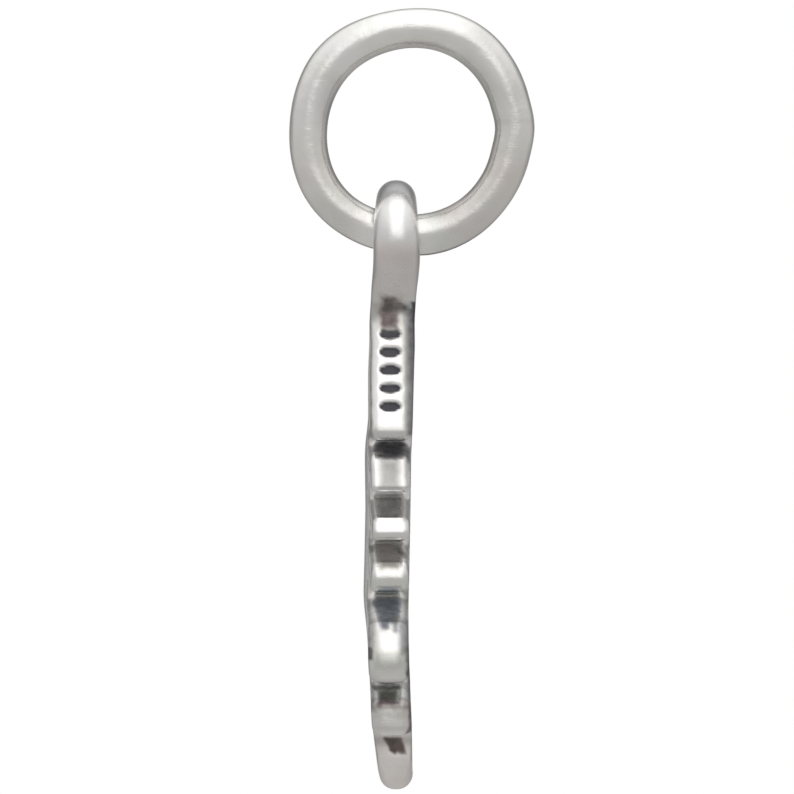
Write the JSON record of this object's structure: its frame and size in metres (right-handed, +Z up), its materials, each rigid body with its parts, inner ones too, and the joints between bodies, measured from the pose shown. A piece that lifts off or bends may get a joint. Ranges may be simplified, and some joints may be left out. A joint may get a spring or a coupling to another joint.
{
  "type": "leaf charm on a jump ring",
  "caption": "Small cast leaf charm with lobed edges and a loop at its top, hanging from a closed round jump ring.",
  "frame": {"origin": "highest point of the jump ring's opening, where the chain bears", "axes": "+Z up, +X towards the leaf's back so that -X is its veined front, +Y across the leaf"},
  "size_m": [0.006, 0.0068, 0.019],
  "materials": {
    "ring_silver": "bright tumbled silver wire",
    "charm_silver": "satin cast silver, darkened in its bays and veins"
  },
  "bodies": {
    "ring": {"jump_ring": "ring_silver"},
    "charm": {"leaf_charm": "charm_silver"}
  },
  "joints": [
    {"name": "charm_swing", "type": "hinge", "parent": "ring", "child": "charm", "pos_m": [-0.00037, 0, -0.00455], "axis": [1, 0, 0], "range_deg": [-150, 150]}
  ]
}
